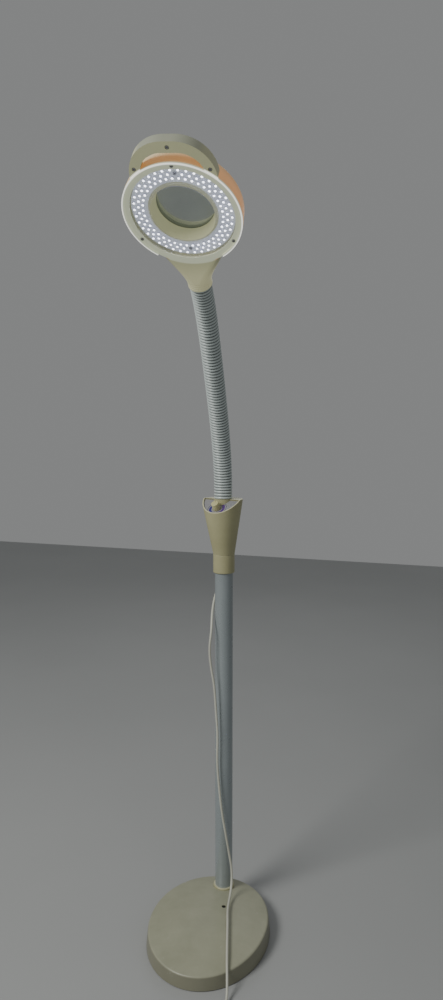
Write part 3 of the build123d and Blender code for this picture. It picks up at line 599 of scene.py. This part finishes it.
HOUSING = housing_material()
STEEL = metal_material("screw_steel", (0.42, 0.42, 0.42), (0.30, 0.30, 0.30), 0.28)
CORE = metal_material("core_aluminium", (0.5, 0.5, 0.51), (0.4, 0.4, 0.41), 0.3)
DARK = rubber_material("dark_moulding", (0.06, 0.06, 0.065), (0.035, 0.035, 0.04))
PALE = moulded("cord_sheath", (0.62, 0.62, 0.54), (0.52, 0.52, 0.44), rough=(0.35, 0.5))
HEAD_SHELL = head_material()
NODE_MATERIALS = {
    "base_cover": base_material(), "base_weight": cast_material(),
    "base_pad": rubber_material("base_pad_rubber", (0.05, 0.05, 0.05), (0.03, 0.03, 0.03)),
    "pole_ring": HOUSING, "pole": pole_material(), "pole_plug": DARK, "pole_bolt": STEEL,
    "collar": HOUSING, "collar_screw": STEEL,
    "cover_screw": metal_material("dark_screw", (0.10, 0.10, 0.10), (0.05, 0.05, 0.05), 0.4),
    "box_shell": HOUSING, "control_panel": panel_material(), "dimmer": DARK, "neck_nut": STEEL,
    "driver_board": board_material(), "driver_parts": DARK, "cord_gland": PALE, "neck_fitting": CORE,
    "plug": moulded("plug_body", (0.60, 0.60, 0.53), (0.5, 0.5, 0.43)),
    "plug_pins": metal_material("pin_brass", (0.62, 0.52, 0.30), (0.5, 0.4, 0.2), 0.25),
    "knob": moulded("knob_plastic", (0.62, 0.59, 0.32), (0.5, 0.47, 0.23), rough=(0.3, 0.42)),
    "dimmer_shaft": CORE, "head_fitting": CORE, "head_front": HEAD_SHELL, "head_back": HEAD_SHELL,
    "led_board": lit_board_material(), "leds": led_material(),
    "led_cover": clear_material("led_cover_plastic", (0.80, 0.80, 0.92), (0.70, 0.70, 0.84), 0.12, 0.22),
    "lens": clear_material("lens_glass", (0.42, 0.50, 0.46), (0.35, 0.42, 0.39), 0.05, 0.42, 1.52),
    "lens_ring": HOUSING, "head_screws": STEEL, "board_screws": STEEL,
}
for name, node in NODES.items():
    material = NODE_MATERIALS.get(name, CORE)
    node.data.materials.clear()
    node.data.materials.append(material)
cord.data.materials.append(PALE)


# ---------------------------------------------------------------- ribbed gooseneck sleeve
AROUND = 56
SAMPLES = 10                # rings of points in each ridge
RIDGES_PER_LINK = 6
CREST_RADIUS = 0.0190
GROOVE_RADIUS = 0.0166
RIDGE_PITCH = 0.00627
LINKS = len(JOINTS_AT) - 1
LINK_LENGTH = RIDGES_PER_LINK * RIDGE_PITCH
STUB_RIDGES = 2


def neck_leans():
    """The centreline's lean from upright at each joint, from the chords between joints."""
    leans = [0.0]
    for lower, upper in zip(JOINTS_AT, JOINTS_AT[1:]):
        chord = upper - lower
        slope = math.atan2(-chord.dot(NECK_BACK), chord.z)
        leans.append(2 * slope - leans[-1])
    return leans


LEANS = neck_leans()


def neck_place(position):
    """Point and lean on the centreline, at a position counted in links from the first joint."""
    if position <= 0:
        return JOINTS_AT[0] + UP * (position * LINK_LENGTH), 0.0
    if position >= LINKS:
        lean = LEANS[-1]
        ahead = UP * math.cos(lean) - NECK_BACK * math.sin(lean)
        return JOINTS_AT[-1] + ahead * ((position - LINKS) * LINK_LENGTH), lean
    index = int(position)
    share = position - index
    start, end = LEANS[index], LEANS[index + 1]
    bend = LINK_LENGTH / (end - start)
    lean = start + (end - start) * share
    ahead = bend * (math.cos(start) - math.cos(lean))
    up = bend * (math.sin(lean) - math.sin(start))
    return JOINTS_AT[index] - NECK_BACK * ahead + UP * up, lean


def sleeve_ring(position):
    """One ring of the sleeve's surface and how near it is to a ridge's crest."""
    centre, lean = neck_place(position)
    inward = NECK_BACK * math.cos(lean) + UP * math.sin(lean)
    phase = position * RIDGES_PER_LINK
    wave = abs(math.sin(math.pi * (phase % 1.0)))
    crest = wave ** 0.75
    radius = GROOVE_RADIUS + (CREST_RADIUS - GROOVE_RADIUS) * crest
    points = []
    for step in range(AROUND):
        angle = 2 * math.pi * step / AROUND
        points.append(centre + (NECK_ACROSS * math.cos(angle) + inward * math.sin(angle)) * radius)
    return points, crest


def make_sleeve(joint, material):
    """The stretch of sleeve across one joint, from the middle of a link to the middle of the next."""
    stub = STUB_RIDGES / RIDGES_PER_LINK
    start = -stub if joint == 0 else joint - 0.5
    end = LINKS + stub if joint == LINKS else joint + 0.5
    rings = round((end - start) * RIDGES_PER_LINK * SAMPLES) + 1
    points, crests = [], []
    for ring in range(rings):
        row, crest = sleeve_ring(start + (end - start) * ring / (rings - 1))
        points += row
        crests += [crest] * AROUND
    piece = mesh_piece(f"sleeve_skin_{joint:02d}", points, ring_faces(rings, AROUND))
    attribute = piece.data.attributes.new("crest", "FLOAT", "POINT")
    attribute.data.foreach_set("value", crests)
    piece.data.materials.append(material)
    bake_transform(piece)
    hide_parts("sleeve_lower" if joint == 0 else f"sleeve_{joint:02d}")
    if joint == LINKS:
        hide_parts("sleeve_upper")


SLEEVE = sleeve_material()
for joint in range(LINKS + 1):
    make_sleeve(joint, SLEEVE)


# ---------------------------------------------------------------- studio
FLOOR_HALF = 4.0
FLOOR_DROP = 0.0002         # keeps the floor clear of the base pad


def make_floor():
    """A plain pale grey floor."""
    made = Shader("studio_floor")
    cloud = made.noise(1.5, 3.0)
    tint = made.ramp(cloud, "Fac", [(0.3, (0.38, 0.39, 0.39)), (0.7, (0.40, 0.41, 0.41))])
    made.colour((tint, "Color"))
    made.set(Roughness=0.6)
    corners = [(-FLOOR_HALF, -FLOOR_HALF, 0), (FLOOR_HALF, -FLOOR_HALF, 0),
               (FLOOR_HALF, FLOOR_HALF, 0), (-FLOOR_HALF, FLOOR_HALF, 0)]
    floor = mesh_piece("studio_floor", corners, [(0, 1, 2, 3)], smooth=False)
    floor.location.z = -FLOOR_DROP
    floor.data.materials.append(made.material)


def area_light(name, place, aim, size, power, colour=(1, 1, 1)):
    """A soft disk lamp; size in metres, power in watts."""
    data = bpy.data.lights.new(name, "AREA")
    data.shape = "DISK"
    data.size = size
    data.energy = power
    data.color = colour
    light = link(name, data)
    light.location = place
    light.rotation_euler = (Vector(aim) - Vector(place)).to_track_quat("-Z", "Y").to_euler()


def make_studio():
    """Soft key light from the front left, with a little fill and back light."""
    world = bpy.data.worlds.new("studio")
    world.use_nodes = True
    world.node_tree.nodes["Background"].inputs["Color"].default_value = (0.55, 0.56, 0.56, 1)
    world.node_tree.nodes["Background"].inputs["Strength"].default_value = 0.42
    bpy.context.scene.world = world
    area_light("key", (-1.25, -1.65, 2.2), (0, 0.05, 0.7), 1.1, 46, (1.0, 0.99, 0.95))
    area_light("fill", (1.9, -1.6, 1.5), (0, 0, 0.7), 1.8, 1.5, (0.94, 0.97, 1.0))
    area_light("back", (-0.4, 2.2, 2.0), (0, 0.1, 0.8), 1.6, 4)


make_floor()
make_studio()
